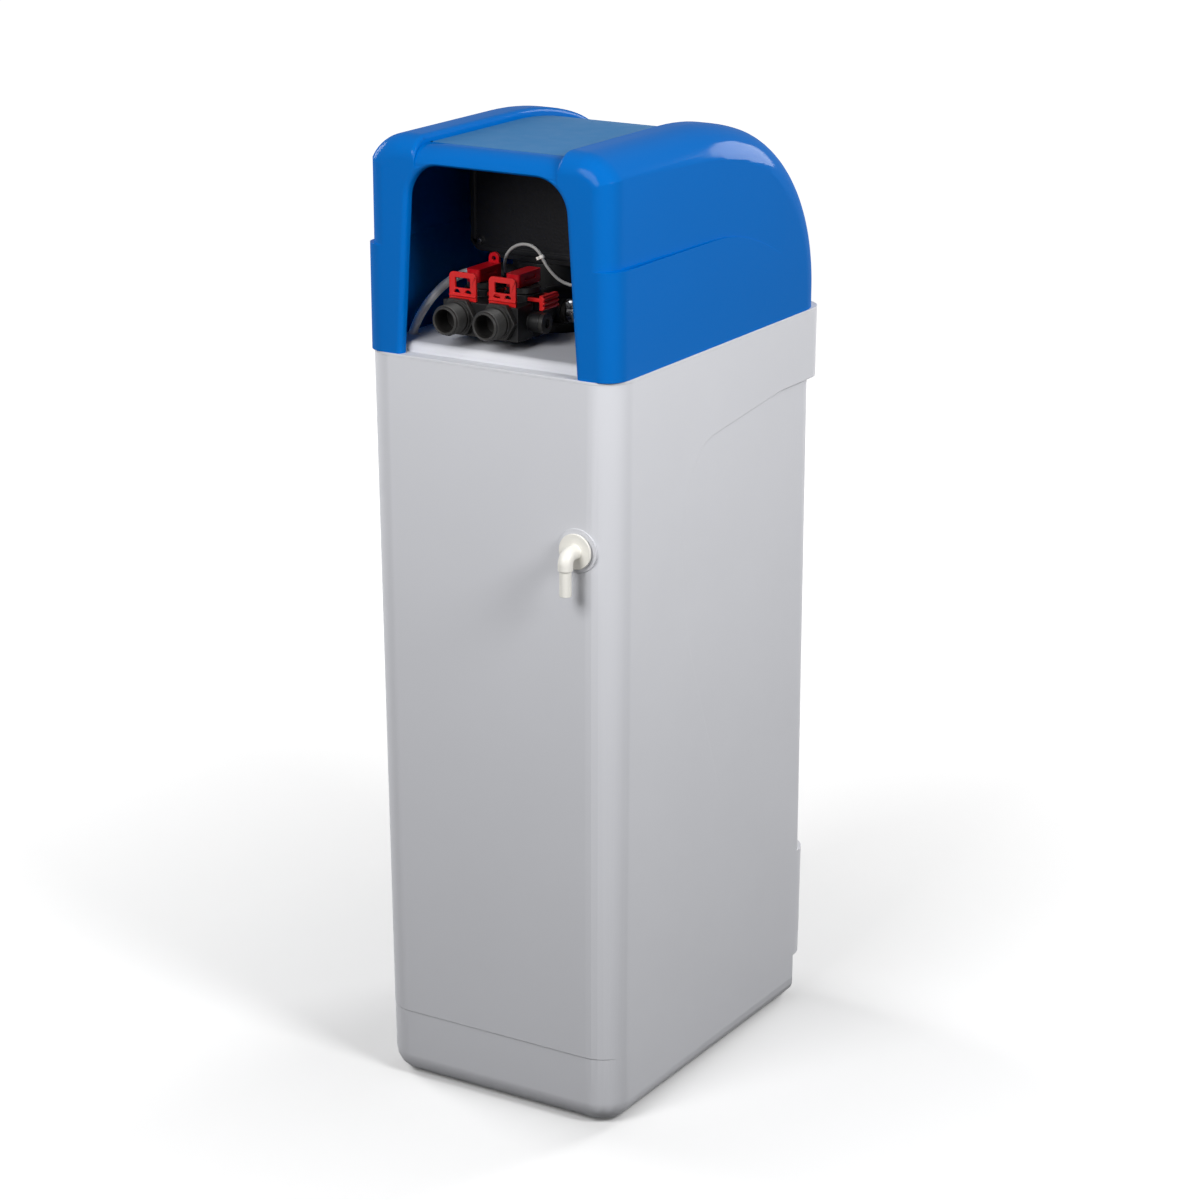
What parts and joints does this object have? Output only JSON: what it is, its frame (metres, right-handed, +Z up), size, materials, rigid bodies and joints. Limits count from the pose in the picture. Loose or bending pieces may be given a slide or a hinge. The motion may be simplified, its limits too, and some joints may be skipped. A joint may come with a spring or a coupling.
{
  "type": "water softener",
  "caption": "Cabinet water softener: tall grey salt cabinet under a blue lift-off hood with a hinged salt lid, covering a resin tank, control valve and bypass with pipe connectors.",
  "frame": {"origin": "on the floor, under the middle of the cabinet's footprint", "axes": "+Z up, +Y towards the plumbing side that the picture shows, +X to the left of that picture"},
  "size_m": [0.32, 0.4982, 1.088],
  "materials": {
    "cabinet_grey": "moulded polyethylene, fine satin grain",
    "hood_blue": "glossy moulded blue",
    "lid_blue": "satin grey-blue",
    "tank_blue": "wound fibreglass in resin",
    "black_plastic": "glass-filled black moulding",
    "dark_plastic": "charcoal moulding",
    "grained_black": "spark-grained black panel",
    "white_plastic": "plain white moulding",
    "tube_white": "milky polyethylene tube",
    "red_plastic": "glossy red moulding",
    "rubber": "black rubber",
    "ceramic": "lapped ceramic",
    "steel": "plated steel",
    "board_green": "coated circuit board",
    "lens": "smoked clear lens",
    "key_grey": "soft-touch key",
    "cable_grey": "grey cable jacket"
  },
  "bodies": {
    "cabinet": {"cabinet_shell": "cabinet_grey", "top_deck": "cabinet_grey", "resin_tank": "tank_blue", "tank_foot": "black_plastic", "riser_tube": "white_plastic", "bottom_basket": "white_plastic", "top_basket": "white_plastic", "neck_seal": "rubber", "brine_well": "white_plastic", "well_cap": "white_plastic", "pickup_tube": "white_plastic", "brine_valve": "white_plastic", "overflow_grommet": "rubber", "valve_body": "black_plastic", "valve_bonnet": "black_plastic", "seat_disc": "ceramic", "drive_bracket": "dark_plastic", "drive_motor": "steel", "head_back_panel": "grained_black", "panel_screws": "steel", "head_cover": "dark_plastic", "circuit_board": "board_green", "display_window": "lens", "bypass_body": "black_plastic", "rotor_fork": "red_plastic", "inlet_connector": "dark_plastic", "outlet_connector": "dark_plastic", "connector_seals": "rubber", "inlet_clip": "red_plastic", "outlet_clip": "red_plastic", "bypass_plug": "dark_plastic", "meter_cage": "white_plastic", "meter_sensor": "black_plastic", "meter_cable": "cable_grey", "cable_tie": "white_plastic", "brine_elbow": "dark_plastic", "brine_tube": "tube_white", "drain_elbow": "dark_plastic", "drain_clamp": "steel"},
    "hood": {"hood": "hood_blue"},
    "lid": {"salt_lid": "lid_blue"},
    "inlet_valve": {"inlet_rotor": "dark_plastic", "inlet_handle": "red_plastic"},
    "outlet_valve": {"outlet_rotor": "dark_plastic", "outlet_handle": "red_plastic"},
    "overflow": {"overflow_elbow": "white_plastic"},
    "float": {"brine_float": "white_plastic", "float_rod": "steel"},
    "gear_train": {"drive_gear": "white_plastic", "drive_shaft": "white_plastic", "port_disc": "ceramic"},
    "pinion": {"motor_pinion": "white_plastic"},
    "turbine": {"meter_turbine": "white_plastic"},
    "first_key": {"key_1": "key_grey"},
    "second_key": {"key_2": "key_grey"},
    "third_key": {"key_3": "key_grey"},
    "fourth_key": {"key_4": "key_grey"}
  },
  "joints": [
    {"name": "hood_lift", "type": "slide", "parent": "cabinet", "child": "hood", "axis": [0, 0, 1], "range_m": [0, 0.26]},
    {"name": "lid_swing", "type": "hinge", "parent": "hood", "child": "lid", "pos_m": [0, 0.2, 1.0765], "axis": [-1, 0, 0], "range_deg": [0, 82]},
    {"name": "inlet_turn", "type": "hinge", "parent": "cabinet", "child": "inlet_valve", "pos_m": [0.0552, 0.152, 0.93], "axis": [0, 0, 1], "range_deg": [0, 90]},
    {"name": "outlet_turn", "type": "hinge", "parent": "cabinet", "child": "outlet_valve", "pos_m": [0.0048, 0.152, 0.93], "axis": [0, 0, 1], "range_deg": [-90, 0]},
    {"name": "overflow_swivel", "type": "hinge", "parent": "cabinet", "child": "overflow", "pos_m": [-0.112, 0.24, 0.669], "axis": [0, 1, 0], "range_deg": [-90, 90]},
    {"name": "float_rise", "type": "slide", "parent": "cabinet", "child": "float", "axis": [0, 0, 1], "range_m": [0, 0.03]},
    {"name": "gear_turn", "type": "hinge", "parent": "cabinet", "child": "gear_train", "pos_m": [0.03, 0.05, 0.95], "axis": [0, 0, 1], "continuous": true},
    {"name": "pinion_turn", "type": "hinge", "parent": "cabinet", "child": "pinion", "pos_m": [0.06, 0.05, 0.95], "axis": [0, 0, 1], "continuous": true},
    {"name": "turbine_spin", "type": "hinge", "parent": "cabinet", "child": "turbine", "pos_m": [0.0552, 0.097, 0.895], "axis": [0, 1, 0], "continuous": true},
    {"name": "key_1_press", "type": "slide", "parent": "cabinet", "child": "first_key", "axis": [0, 1, 0], "range_m": [0, 0.0012], "stiffness_N_per_m": 400},
    {"name": "key_2_press", "type": "slide", "parent": "cabinet", "child": "second_key", "axis": [0, 1, 0], "range_m": [0, 0.0012], "stiffness_N_per_m": 400},
    {"name": "key_3_press", "type": "slide", "parent": "cabinet", "child": "third_key", "axis": [0, 1, 0], "range_m": [0, 0.0012], "stiffness_N_per_m": 400},
    {"name": "key_4_press", "type": "slide", "parent": "cabinet", "child": "fourth_key", "axis": [0, 1, 0], "range_m": [0, 0.0012], "stiffness_N_per_m": 400}
  ],
  "couplings": [
    {"joint": "pinion_turn", "follows": "gear_turn", "ratio": -4}
  ]
}
